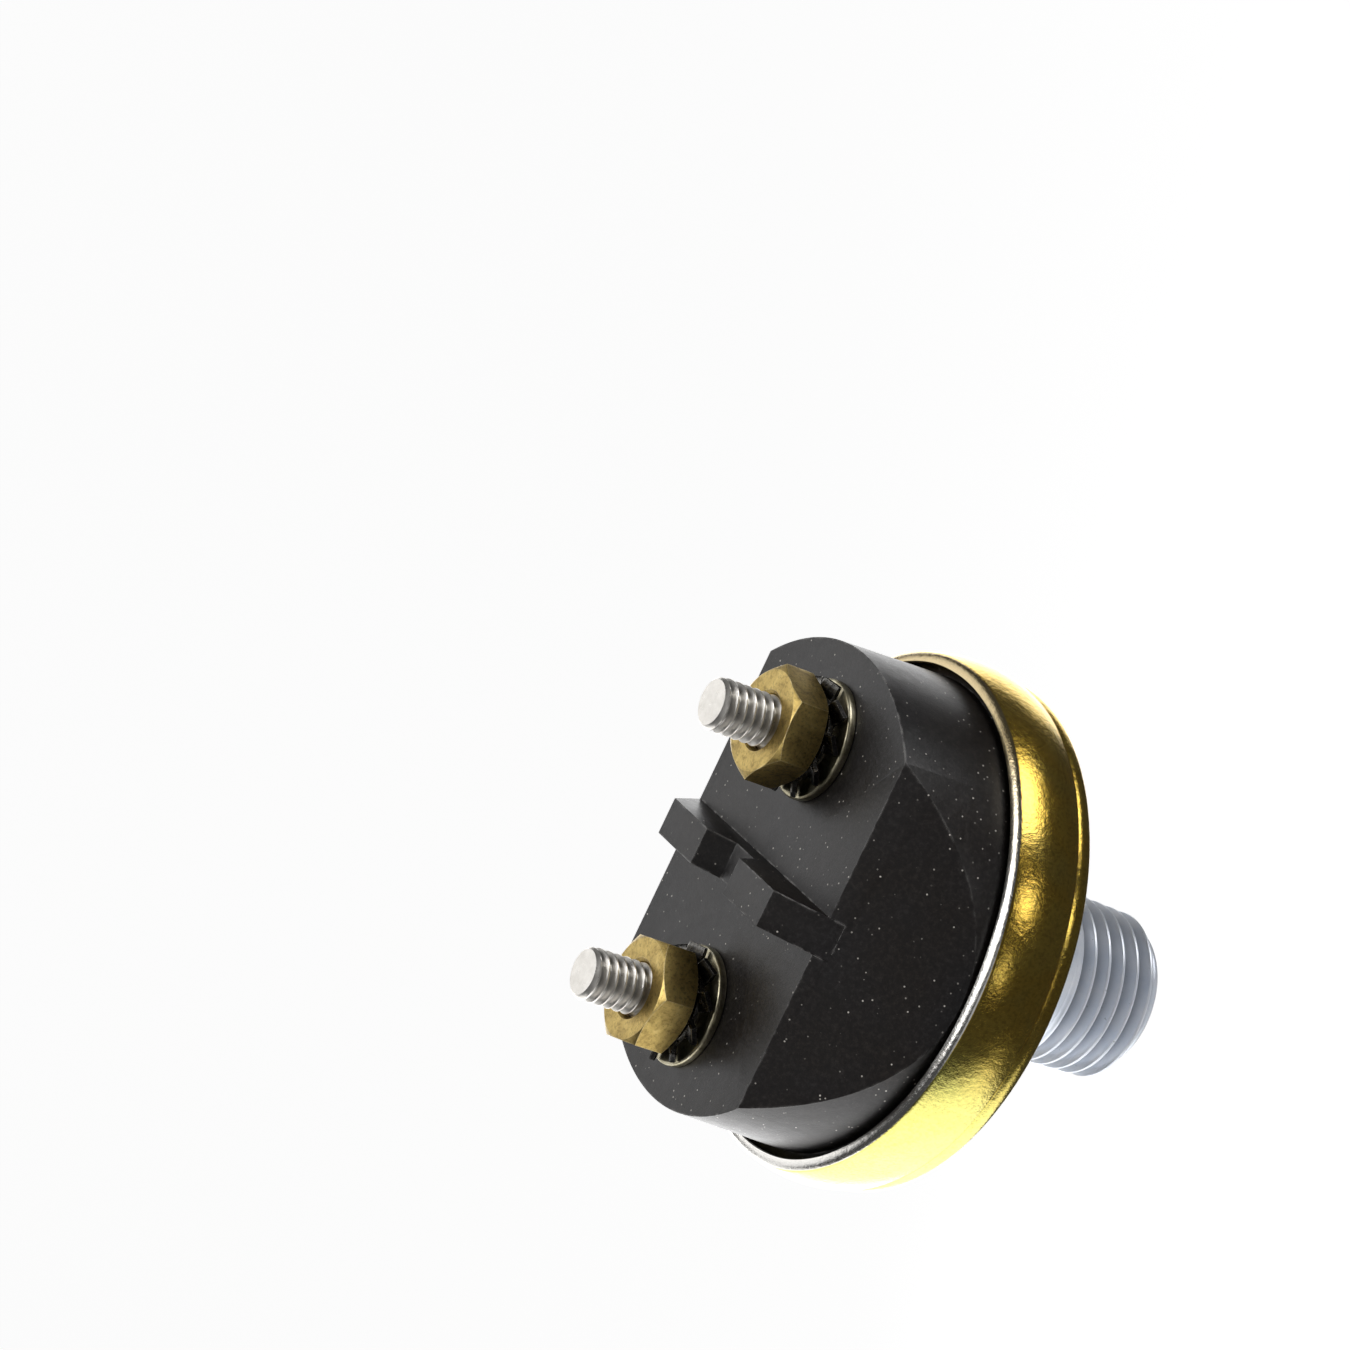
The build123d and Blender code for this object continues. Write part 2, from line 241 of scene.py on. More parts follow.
class Surface:
    """A Principled material under construction. Its textures run on the row frame's millimetres."""

    def __init__(self, name, metallic=0.0, roughness=0.5):
        self.material = bpy.data.materials.new(name)
        self.material.use_nodes = True
        self.tree = self.material.node_tree
        self.shader = self.tree.nodes["Principled BSDF"]
        self.shader.inputs["Metallic"].default_value = metallic
        self.shader.inputs["Roughness"].default_value = roughness
        place = self.add("ShaderNodeTexCoord").outputs["Object"]
        scaled = self.add("ShaderNodeVectorMath", operation="SCALE")
        scaled.inputs["Scale"].default_value = 1 / MM
        self.link(place, scaled.inputs[0])
        self.place = scaled.outputs["Vector"]

    def add(self, kind, **settings):
        node = self.tree.nodes.new(kind)
        for key, value in settings.items():
            setattr(node, key, value)
        return node

    def link(self, source, target):
        self.tree.links.new(source, target)

    def feed(self, socket, value):
        if isinstance(value, bpy.types.NodeSocket):
            self.link(value, socket)
        else:
            socket.default_value = value

    def stretched(self, x, y, z, place=None):
        """The place with its axes scaled, so that a texture runs finer along one of them."""
        node = self.add("ShaderNodeVectorMath", operation="MULTIPLY")
        self.link(place or self.place, node.inputs[0])
        node.inputs[1].default_value = (x, y, z)
        return node.outputs["Vector"]

    def noise(self, scale, detail=4.0, roughness=0.55, place=None, distortion=0.0):
        node = self.add("ShaderNodeTexNoise")
        self.link(place or self.place, node.inputs["Vector"])
        node.inputs["Scale"].default_value = scale
        node.inputs["Detail"].default_value = detail
        node.inputs["Roughness"].default_value = roughness
        node.inputs["Distortion"].default_value = distortion
        return node.outputs["Fac"]

    def cells(self, scale):
        node = self.add("ShaderNodeTexVoronoi")
        self.link(self.place, node.inputs["Vector"])
        node.inputs["Scale"].default_value = scale
        return node.outputs["Distance"]

    def ramp(self, value, *stops):
        """Colour or grey by value, from (position, colour or grey) stops."""
        node = self.add("ShaderNodeValToRGB")
        self.feed(node.inputs["Fac"], value)
        elements = node.color_ramp.elements
        while len(elements) < len(stops):
            elements.new(0.5)
        for element, (position, colour) in zip(elements, stops):
            element.position = position
            element.color = (*colour, 1) if isinstance(colour, tuple) else (colour, colour, colour, 1)
        return node.outputs["Color"]

    def math(self, operation, one, two=0.0):
        node = self.add("ShaderNodeMath", operation=operation)
        self.feed(node.inputs[0], one)
        self.feed(node.inputs[1], two)
        return node.outputs["Value"]

    def mix(self, share, one, two, blend="MIX"):
        node = self.add("ShaderNodeMix", data_type="RGBA", blend_type=blend)
        self.feed(node.inputs["Factor"], share)
        colours = [s for s in node.inputs if s.type == "RGBA"]
        for socket, value in zip(colours, (one, two)):
            self.feed(socket, (*value, 1) if isinstance(value, tuple) else value)
        return next(s for s in node.outputs if s.type == "RGBA")

    def from_axis(self, centre_y=0.0):
        """Distance from the Z axis, or from the upright line through a terminal."""
        moved = self.add("ShaderNodeVectorMath", operation="SUBTRACT")
        self.link(self.place, moved.inputs[0])
        moved.inputs[1].default_value = (0, centre_y, 0)
        flat = self.stretched(1, 1, 0, moved.outputs["Vector"])
        node = self.add("ShaderNodeVectorMath", operation="LENGTH")
        self.link(flat, node.inputs[0])
        return node.outputs["Value"]

    def coordinate(self, axis):
        node = self.add("ShaderNodeSeparateXYZ")
        self.link(self.place, node.inputs[0])
        return node.outputs[axis]

    def shade_in_groove(self, base, crest_r, depth, root, low, high, centre_y=0.0):
        """Painted shade in a thread's groove: the base colour, multiplied by root at a thread's root,
        between two heights.
        """
        share = self.math("SUBTRACT", crest_r, self.from_axis(centre_y))
        tone = self.ramp(
            self.math("DIVIDE", share, 2 * depth), (0.05, 1.0), (0.42, root), (0.60, root), (0.70, 1.0))
        inside = self.math("MULTIPLY", self.math("GREATER_THAN", self.coordinate("Z"), low),
                           self.math("LESS_THAN", self.coordinate("Z"), high))
        return self.mix(inside, base, self.mix(1.0, base, tone, "MULTIPLY"))

    def as_place(self, x, y):
        node = self.add("ShaderNodeCombineXYZ")
        self.link(x, node.inputs["X"])
        self.link(y, node.inputs["Y"])
        return node.outputs["Vector"]

    def edges(self, radius, gain):
        """Near 1 on outer and inner edges, 0 on flat ground."""
        soft = self.add("ShaderNodeBevel", samples=6)
        soft.inputs["Radius"].default_value = radius * MM
        hard = self.add("ShaderNodeNewGeometry").outputs["Normal"]
        dot = self.add("ShaderNodeVectorMath", operation="DOT_PRODUCT")
        self.link(soft.outputs["Normal"], dot.inputs[0])
        self.link(hard, dot.inputs[1])
        return self.math("MULTIPLY", self.math("SUBTRACT", 1.0, dot.outputs["Value"]), gain)

    def colour(self, value):
        self.feed(self.shader.inputs["Base Color"], (*value, 1) if isinstance(value, tuple) else value)

    def rough(self, value, low, high):
        """Roughness from low to high as value goes from 0 to 1."""
        node = self.add("ShaderNodeMapRange")
        self.feed(node.inputs["Value"], value)
        node.inputs["To Min"].default_value = low
        node.inputs["To Max"].default_value = high
        self.link(node.outputs["Result"], self.shader.inputs["Roughness"])

    def bump(self, height, depth):
        """Adds relief of a depth in millimetres on top of what is there."""
        node = self.add("ShaderNodeBump")
        node.inputs["Strength"].default_value = 1.0
        node.inputs["Distance"].default_value = depth * MM
        self.link(height, node.inputs["Height"])
        before = self.shader.inputs["Normal"].links
        if before:
            self.link(before[0].from_socket, node.inputs["Normal"])
        self.link(node.outputs["Normal"], self.shader.inputs["Normal"])


def zinc_steel():
    """Dull zinc over turned steel: fine rings, grey bloom and faint brown stains."""
    s = Surface("zinc_steel", metallic=1.0)
    rings = s.noise(5.0, 6, 0.7, s.as_place(s.from_axis(), s.coordinate("Z")))
    bloom = s.noise(0.22, 6, 0.65)
    stains = s.ramp(s.noise(0.35, 5, 0.6, distortion=0.8), (0.55, 0.0), (0.75, 1.0))
    base = s.ramp(bloom, (0.3, (0.40, 0.40, 0.40)), (0.55, (0.56, 0.56, 0.55)), (0.75, (0.66, 0.66, 0.64)))
    base = s.mix(s.math("MULTIPLY", stains, 0.45), base, (0.36, 0.31, 0.24))
    grain = s.ramp(rings, (0.35, 0.82), (0.65, 1.0))
    s.colour(s.mix(1.0, base, grain, "MULTIPLY"))
    s.rough(s.noise(1.6, 5, 0.6), 0.30, 0.56)
    s.bump(rings, 0.012)
    s.bump(s.noise(6, 4, 0.6), 0.006)
    return s.material


def thread_steel():
    """Zinc on the cut thread: pale and cloudy, with painted shade in the roots and a painted near-white
    highlight along the thread's edges.
    """
    s = Surface("thread_steel", metallic=0.4)
    base = s.ramp(s.noise(0.5, 5, 0.6), (0.3, (0.70, 0.76, 0.86)), (0.7, (0.84, 0.87, 0.93)))
    taper = s.math("ADD", s.math("MULTIPLY", s.coordinate("Z"), 1 / 32), PIPE_TIP_R)
    crest_r = s.math("MINIMUM", taper, s.math("ADD", s.coordinate("Z"), PIPE_TIP_R - PIPE_CHAMFER))
    # Painted shade: the thread's roots darkened to 0.6 of the base colour.
    base = s.shade_in_groove(base, crest_r, PIPE_DEPTH, 0.6, 0.02, THREAD_TOP)
    # Painted highlight: the thread's edges mixed towards near white.
    s.colour(s.mix(s.edges(0.12, 3.0), base, (0.94, 0.94, 0.95)))
    s.rough(s.noise(3, 4, 0.6), 0.22, 0.40)
    s.bump(s.noise(4, 5, 0.65, s.stretched(1, 1, 6)), 0.010)
    return s.material


def yellow_chromate(bead_z, lip_z, lip_r):
    """Yellow chromate on sheet steel: gold with green and rose clouds, a painted lighter lemon tint on the
    -Y side where white light is reflected, brown where it is rolled in.
    """
    s = Surface("yellow_chromate", metallic=1.0)
    cloud = s.noise(0.10, 4, 0.6, distortion=0.6)
    gold = s.ramp(
        cloud, (0.34, (0.84, 0.62, 0.15)), (0.48, (0.90, 0.60, 0.11)), (0.60, (0.92, 0.66, 0.14)),
        (0.74, (0.80, 0.50, 0.14)))
    lemon = s.ramp(cloud, (0.36, (0.86, 0.80, 0.22)), (0.64, (0.93, 0.84, 0.26)))
    # Painted reflection tint: lemon on the -Y side, where white light is reflected, and gold on the +Y
    # side; the cloud makes the border wander.
    side = s.math("ADD", s.math("MULTIPLY", s.coordinate("Y"), 0.045), s.math("MULTIPLY", cloud, 0.6))
    gold = s.mix(s.ramp(side, (0.0, 0.0), (0.30, 1.0)), lemon, gold)
    spots = s.ramp(s.noise(3.5, 6, 0.7), (0.38, 0.74), (0.54, 1.0))
    gold = s.mix(0.8, gold, spots, "MULTIPLY")
    height = s.coordinate("Z")
    wander = s.math("MULTIPLY", s.math("SUBTRACT", s.noise(0.5, 3), 0.5), 0.5)
    rolled = s.math("SUBTRACT", s.math("ADD", bead_z, wander), height)
    rolled = s.ramp(s.math("DIVIDE", rolled, 0.5), (0.0, 0.0), (1.0, 1.0))
    copper = s.ramp(s.noise(0.6, 5, 0.65), (0.35, (0.34, 0.20, 0.09)), (0.65, (0.62, 0.42, 0.18)))
    base = s.mix(rolled, gold, copper)
    inside = s.math("SUBTRACT", lip_r, s.from_axis())
    bare = s.math("MULTIPLY", s.ramp(s.math("SUBTRACT", height, lip_z - 0.42), (0.0, 0.0), (0.06, 1.0)),
                  s.ramp(inside, (0.0, 0.0), (0.06, 1.0)))
    worn = s.ramp(
        s.math("DIVIDE", s.coordinate("Y"), lip_r), (0.45, (0.90, 0.88, 0.84)), (0.85, (0.70, 0.56, 0.32)))
    s.colour(s.mix(bare, base, worn))
    s.rough(s.noise(1.0, 5, 0.65), 0.12, 0.28)
    s.bump(s.noise(6.5, 3, 0.6), 0.012)
    s.bump(s.noise(1.7, 3, 0.6), 0.030)
    return s.material


def black_phenolic():
    """Moulded phenolic: charcoal, fine brown and grey mottle, matt, with bright specks of dust."""
    s = Surface("black_phenolic")
    mottle = s.noise(2.8, 8, 0.78)
    base = s.ramp(
        mottle, (0.36, (0.005, 0.004, 0.004)), (0.50, (0.010, 0.008, 0.0075)),
        (0.64, (0.027, 0.024, 0.023)))
    # A broad tint from warm to bluish: partly the moulding's own uneven tone, partly a painted bluish
    # sheen.
    cloud = s.ramp(s.noise(0.11, 3, 0.5), (0.35, (0.9, 0.8, 0.7)), (0.65, (1.0, 1.06, 1.2)))
    base = s.mix(1.0, base, cloud, "MULTIPLY")
    # Lighter edges where the noise allows: partly wear, partly a painted highlight along the edges.
    scuff_and_glint = s.math("MULTIPLY", s.edges(0.3, 6.0), s.ramp(s.noise(0.9, 4), (0.46, 0.0), (0.60, 1.0)))
    base = s.mix(s.math("MINIMUM", scuff_and_glint, 1.0), base, (0.30, 0.29, 0.28))
    dust = s.ramp(s.cells(1.6), (0.08, 1.0), (0.13, 0.0))
    thin = s.ramp(s.noise(0.8, 3, 0.6), (0.44, 0.0), (0.60, 1.0))
    base = s.mix(s.math("MULTIPLY", dust, thin), base, (0.70, 0.66, 0.60))
    s.colour(base)
    s.rough(s.noise(1.4, 5, 0.6), 0.27, 0.44)
    s.shader.inputs["Specular IOR Level"].default_value = 0.55
    s.bump(s.noise(5.5, 5, 0.7), 0.016)
    s.bump(s.noise(0.5, 3), 0.04)
    return s.material


def bright_zinc(letter):
    """Bright plate on a stud, with painted shade in the thread's roots, and pale oxide bloom."""
    s = Surface(f"bright_zinc_{letter}", metallic=0.8)
    base = s.ramp(s.noise(1.1, 5, 0.6), (0.3, (0.74, 0.71, 0.66)), (0.7, (0.90, 0.87, 0.82)))
    tip = heights(f"terminal_stud_{letter}")[1]
    centre_y = TERMINALS[letter] * TERMINAL_Y
    # Painted shade: the thread's roots darkened to half the base colour.
    s.colour(s.shade_in_groove(base, STUD_R, STUD_DEPTH, 0.5, HOUSING_TOP, tip - 0.02, centre_y))
    s.rough(s.noise(3, 4, 0.6), 0.22, 0.38)
    s.bump(s.noise(7, 4, 0.6, s.stretched(1, 1, 3)), 0.008)
    return s.material


def machined_brass():
    """Brass nut: olive tarnish in mottled patches, fine grinding marks, bright corners that are partly wear
    and partly a painted highlight.
    """
    s = Surface("machined_brass", metallic=1.0)
    patch = s.noise(0.75, 6, 0.68, distortion=0.5)
    base = s.ramp(
        patch, (0.30, (0.30, 0.21, 0.07)), (0.46, (0.50, 0.36, 0.12)), (0.62, (0.62, 0.46, 0.16)),
        (0.78, (0.74, 0.58, 0.26)))
    pits = s.ramp(s.noise(4.5, 4, 0.6), (0.36, 0.62), (0.50, 1.0))
    base = s.mix(0.85, base, pits, "MULTIPLY")
    # Bright edges: partly wear, partly a painted highlight.
    s.colour(s.mix(s.edges(0.12, 5.0), base, (0.88, 0.76, 0.45)))
    s.rough(s.noise(2.4, 5, 0.6), 0.26, 0.46)
    s.bump(s.noise(3.0, 5, 0.6, s.stretched(1, 1, 4)), 0.012)
    s.bump(s.noise(9, 3, 0.6), 0.008)
    return s.material


def black_oxide():
    """Black oxide on spring steel: near black, glossy in patches, grey on its worn teeth."""
    s = Surface("black_oxide", metallic=1.0)
    base = s.ramp(s.noise(1.6, 5, 0.65), (0.35, (0.035, 0.035, 0.036)), (0.7, (0.13, 0.125, 0.115)))
    s.colour(s.mix(s.edges(0.1, 3.0), base, (0.42, 0.40, 0.36)))
    s.rough(s.noise(3, 4), 0.16, 0.42)
    s.bump(s.noise(5, 4), 0.015)
    return s.material


def pale_brass():
    """Thinly plated brass washer, pale and slightly stained."""
    s = Surface("pale_brass", metallic=1.0)
    base = s.ramp(
        s.noise(0.9, 5, 0.65), (0.30, (0.34, 0.30, 0.19)), (0.52, (0.58, 0.53, 0.37)),
        (0.72, (0.74, 0.70, 0.56)))
    s.colour(s.mix(s.edges(0.1, 4.0), base, (0.88, 0.85, 0.74)))
    s.rough(s.noise(2.2, 4), 0.22, 0.42)
    s.bump(s.noise(4, 4), 0.010)
    return s.material


def simple_finish(name, dark, light, metallic, low, high):
    """Hidden parts: two tones of one colour, with grain and relief."""
    s = Surface(name, metallic=metallic)
    s.colour(s.ramp(s.noise(1.2, 5, 0.6), (0.32, dark), (0.68, light)))
    s.rough(s.noise(2.4, 4), low, high)
    s.bump(s.noise(6.0, 4), 0.012)
    return s.material


# ---------------------------------------------------------------- the pieces

def put(obj, body, material, nodes):
    """Rides a piece on its body, in place of CAD nodes, with its material."""
    obj.data.materials.clear()
    obj.data.materials.append(material)
    if nodes:
        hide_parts(*nodes)
    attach(obj, body)
    return obj


# Port side sizes that the frame's boxes don't give
HEX_FACE = 12.8
DISC_FACE = 18.9
DISC_RIM = 19.5
HEX_FLATS = 19.05
HEX_CLOCKING = 94.0
THREAD_TOP = 9.0
COLLAR_TOP = 10.7
COLLAR_R = 6.9
PIPE_PITCH = 1.411
PIPE_TIP_R = 6.63
PIPE_DEPTH = 1.05
PIPE_CHAMFER = 1.2
MOUTH_R = 3.65
ORIFICE_R = 0.55


def fitting_spigot():
    """Tapered thread, collar and neck, with the countersunk mouth and the orifice."""
    tip_r = PIPE_TIP_R - PIPE_CHAMFER

    def crest(z):
        return min(PIPE_TIP_R + z / 32, tip_r + z)

    def depth(z):
        fade = min(1.0, max(0.0, (THREAD_TOP - z) / (PIPE_PITCH * 0.8)))
        root_r = PIPE_TIP_R + z / 32 - PIPE_DEPTH * fade
        return max(0.0, crest(z) - root_r)

    bm = bmesh.new()
    segments = 192
    add_thread(bm, crest, depth, PIPE_PITCH, 0.0, THREAD_TOP, segments)
    top_r = crest(THREAD_TOP)
    outside = rounded([
        (top_r, THREAD_TOP), (COLLAR_R, THREAD_TOP + 0.1, 0.05), (COLLAR_R, COLLAR_TOP, 1.2),
        (COLLAR_R + 0.9, HEX_FACE - 0.1, 0.3), (COLLAR_R + 1.1, HEX_FACE + 0.4)], 0.1)
    add_lathe(bm, outside, segments)
    mouth = rounded([
        (tip_r, 0.0), (MOUTH_R, 0.0, 0.12), (ORIFICE_R, MOUTH_R - ORIFICE_R, 0.1),
        (ORIFICE_R, DISC_TOP - 0.6)], 0.1)
    add_lathe(bm, mouth, segments)
    return finished(bm, "fitting_spigot")


def fitting_hex():
    """Hexagon with its corners turned down on the port side."""
    corner_r = HEX_FLATS / math.sqrt(3)
    body = prism_object("fitting_hex", hexagon(HEX_FLATS, HEX_CLOCKING), HEX_FACE, DISC_FACE + 0.3)
    envelope = lathe_object("envelope", [
        (0, HEX_FACE - 0.01), (corner_r - 1.3, HEX_FACE - 0.01), (corner_r + 0.1, HEX_FACE + 0.8),
        (corner_r + 0.1, DISC_FACE + 1), (0, DISC_FACE + 1)], 256, closed=False)
    boolean(body, envelope, "INTERSECT")
    bevel(body, 0.12, 3, 20)
    return body


def fitting_disc():
    """The disc that the ring grips, with its chamfered edge and the pressure chamber on top."""
    low, high = box_mm("base_fitting")
    edge_r = high[0]
    profile = rounded([
        (0.9, DISC_FACE), (11.4, DISC_FACE), (11.6, DISC_FACE + 0.05), (11.8, DISC_FACE),
        (17.53, DISC_FACE, 0.1), (18.2, DISC_RIM, 0.15), (edge_r - 0.8, DISC_RIM), (edge_r, DISC_RIM + 0.8),
        (edge_r, DISC_TOP), (15.1, DISC_TOP), (15.1, DISC_TOP - 1.2), (13.1, DISC_TOP - 1.2),
        (13.1, DISC_TOP), (11.0, DISC_TOP), (11.0, DISC_TOP - 0.6), (0.9, DISC_TOP - 0.6)], 0.06)
    return lathe_object("fitting_disc", profile, 256)


def ring_ripple(angle, height):
    """Small inward waves left by the crimping rollers, strongest at the lip."""
    lip = max(0.0, min(1.0, (height - RING_BOTTOM - 3.5) / 3.5))
    wave = 0.5 + 0.5 * math.sin(5 * angle + 0.8) * math.sin(3 * angle + 2.1)
    fine = 0.5 + 0.5 * math.sin(23 * angle + 1.3)
    return -(0.05 + 0.05 * lip) * wave - 0.012 * lip * fine


FLAT_HALF_WIDTH = 12.13
FLAT_SLOPE = 0.76
BARRIER_HALF = 1.5
LEDGE_Z = 28.1
CAVITY_R = 14.8
SLOT_R = 14.9
SLOT_HALF_WIDTH = 7.5
STUD_HOLE_R = 2.0


def plug(name, radius, low, high, segments, centre_y=0.0):
    """Plain solid cylinder that hollows the housing."""
    corners = [(0, low), (radius, low), (radius, high), (0, high)]
    return lathe_object(name, corners, segments, centre_y, closed=False)


def flat_x(height):
    return FLAT_HALF_WIDTH + FLAT_SLOPE * (HOUSING_TOP - height)


def prism_along_y(name, corners, half_length):
    """Prism centred on the XZ plane, from (x, z) corners."""
    bm = bmesh.new()
    base = bm.faces.new([bm.verts.new((x * MM, -half_length * MM, z * MM)) for x, z in corners])
    lifted = bmesh.ops.extrude_face_region(bm, geom=[base])["geom"]
    far = [v for v in lifted if isinstance(v, bmesh.types.BMVert)]
    bmesh.ops.translate(bm, verts=far, vec=(0, 2 * half_length * MM, 0))
    return finished(bm, name)


def housing():
    """Moulded housing: round body, two slanted flats, the notched barrier, and the hollow inside."""
    low, barrier_top = heights("housing")
    flange_r, ceiling = radius_of("housing"), heights("stud_seal_a")[1]
    body = lathe_object("housing_moulding", [
        (0, low), (flange_r, low), (flange_r, low + 1.2), (19.0, low + 1.7), (19.0, LIP_Z),
        (18.73, HOUSING_TOP), (0, HOUSING_TOP)], 240, closed=False)
    reach, above = flange_r + 2, HOUSING_TOP + 2
    foot = HOUSING_TOP - (flange_r - FLAT_HALF_WIDTH) / FLAT_SLOPE
    for side in (-1, 1):
        offcut = prism_along_y("offcut", [
            (side * flat_x(above), above), (side * reach, above), (side * reach, foot),
            (side * flat_x(foot), foot)], reach)
        boolean(body, offcut, "DIFFERENCE")
    notch_top, notch_foot, notch_floor = 3.05, 1.55, barrier_top - 2.04
    under = HOUSING_TOP - 1
    barrier = prism_along_y("barrier", [
        (-flat_x(under), under), (-flat_x(barrier_top), barrier_top), (-notch_top, barrier_top),
        (-notch_foot, notch_floor), (notch_foot, notch_floor), (notch_top, barrier_top),
        (flat_x(barrier_top), barrier_top), (flat_x(under), under)], BARRIER_HALF)
    boolean(body, barrier, "UNION")
    bevel(body, 0.13, 3, 28)
    boolean(body, plug("cavity", CAVITY_R, low - 1, LEDGE_Z, 128), "DIFFERENCE")
    slot = plug("slot", SLOT_R, LEDGE_Z - 1, ceiling, 128)
    half = SLOT_HALF_WIDTH
    sides = [(-half, low), (half, low), (half, barrier_top), (-half, barrier_top)]
    boolean(slot, prism_along_y("width", sides, SLOT_R + 5), "INTERSECT")
    boolean(body, slot, "DIFFERENCE")
    for side in TERMINALS.values():
        hole = plug("hole", STUD_HOLE_R, ceiling - 1, HOUSING_TOP + 1, 64, side * TERMINAL_Y)
        boolean(body, hole, "DIFFERENCE")
    return body


def crimp_ring():
    """Sheet ring: rolled bead, crease, bulging dome and the cut lip."""
    sheet, crease_r, crease_z = 0.75, RING_R - 0.43, RING_BOTTOM + 1.65
    bulge_z, lip_outer, lip_inner, bead_edge = RING_BOTTOM + 4.8, RING_R - 0.46, RING_R - 1.4, RING_R - 2.71
    bead_r, rise = 1.2, 0.32
    turn_z, centre_r = RING_BOTTOM + bead_r, crease_r - bead_r
    slant, inner_slant = bead_r * math.sqrt(0.5), (bead_r - sheet) * math.sqrt(0.5)
    outline = [(bead_edge, RING_BOTTOM + rise + sheet - 0.1), (bead_edge, RING_BOTTOM + rise + 0.12),
               (bead_edge + 0.06, RING_BOTTOM + rise)]
    outline += arc((centre_r, RING_BOTTOM), (centre_r + slant, turn_z - slant), (crease_r, turn_z), 14)
    outline += [(crease_r, turn_z), (crease_r - 0.01, crease_z - 0.2), (crease_r - 0.05, crease_z - 0.08),
                (crease_r - 0.06, crease_z)]
    outline += arc((crease_r, crease_z + 0.1), (RING_R, bulge_z), (lip_outer, LIP_Z - 0.38), 30)
    outline += arc((lip_outer, LIP_Z - 0.38), (lip_outer - 0.30, LIP_Z - 0.15), (lip_inner + 0.1, LIP_Z), 6)
    outline += [(lip_inner + 0.1, LIP_Z), (lip_inner + 0.02, LIP_Z - 0.06)]
    outline += arc((lip_inner, LIP_Z - 0.1), (RING_R - sheet, bulge_z), (crease_r - sheet, crease_z), 14)
    outline += arc((crease_r - sheet, turn_z), (centre_r + inner_slant, turn_z - inner_slant),
                   (centre_r, RING_BOTTOM + sheet), 8)
    outline += [(centre_r, RING_BOTTOM + sheet), (bead_edge + 0.1, RING_BOTTOM + rise + sheet)]
    bm = bmesh.new()
    add_lathe(bm, outline, 320, closed=True)
    for vert in bm.verts:
        radius = math.hypot(vert.co.x, vert.co.y)
        change = ring_ripple(math.atan2(vert.co.y, vert.co.x), vert.co.z / MM) * MM
        vert.co.x *= 1 + change / radius
        vert.co.y *= 1 + change / radius
    return finished(bm, "crimp_ring_shell")


STUD_R = 2.083
STUD_PITCH = 0.794
STUD_DEPTH = 0.46


def terminal_stud(letter):
    """Headed stud with its thread above the housing."""
    side = TERMINALS[letter]
    head_low, tip = heights(f"terminal_stud_{letter}")
    head_r = radius_of(f"terminal_stud_{letter}")
    head_high = heights(f"stud_seal_{letter}")[0]
    tip_r, lead = 1.76, 0.3

    def crest(z):
        return min(STUD_R, tip_r + (tip - z) * (STUD_R - tip_r) / lead)

    def depth(z):
        fade = min(1.0, max(0.0, (z - HOUSING_TOP) / STUD_PITCH), max(0.0, (tip - z) / (STUD_PITCH * 0.9)))
        return max(0.0, crest(z) - (STUD_R - STUD_DEPTH * fade))

    bm = bmesh.new()
    segments = 96
    add_thread(bm, crest, depth, STUD_PITCH, HOUSING_TOP, tip, segments)
    add_lathe(bm, [(tip_r, tip), (tip_r * 0.5, tip), (0, tip)], segments)
    shank = rounded([
        (STUD_R, HOUSING_TOP), (1.95, HOUSING_TOP), (1.95, head_high), (head_r, head_high, 0.15),
        (head_r, head_low, 0.15), (0.2, head_low)], 0.04)
    add_lathe(bm, shank + [(0, head_low)], segments)
    return finished(bm, f"terminal_stud_thread_{letter}", side * TERMINAL_Y)


def terminal_nut(letter, clocking):
    side = TERMINALS[letter]
    low, high = heights(f"terminal_nut_{letter}")
    flats, hole_r, turned = 7.94, 2.12, 0.36
    corner_r = flats / math.sqrt(3)
    name = f"terminal_nut_brass_{letter}"
    body = prism_object(name, hexagon(flats, clocking), low, high)
    envelope = lathe_object("envelope", [
        (hole_r, low + 0.3), (hole_r + 0.3, low - 0.001), (corner_r - 0.62, low - 0.001),
        (corner_r + 0.02, low + turned), (corner_r + 0.02, high - turned),
        (corner_r - 0.62, high + 0.001), (hole_r + 0.3, high + 0.001), (hole_r, high - 0.3)], 128)
    boolean(body, envelope, "INTERSECT")
    bevel(body, 0.09, 3, 20)
    body.data.transform(Matrix.Translation((0, side * TERMINAL_Y * MM, 0)))
    return body


def flat_washer(letter):
    low, high = heights(f"flat_washer_{letter}")
    outer, inner = radius_of(f"flat_washer_{letter}"), 2.38
    profile = rounded([
        ((outer + inner) / 2, low), (outer, low, 0.18), (outer, high, 0.26), (inner, high, 0.1),
        (inner, low, 0.1), ((outer + inner) / 2, low)], 0.1)
    return lathe_object(f"flat_washer_plate_{letter}", profile[:-1], 128, TERMINALS[letter] * TERMINAL_Y)


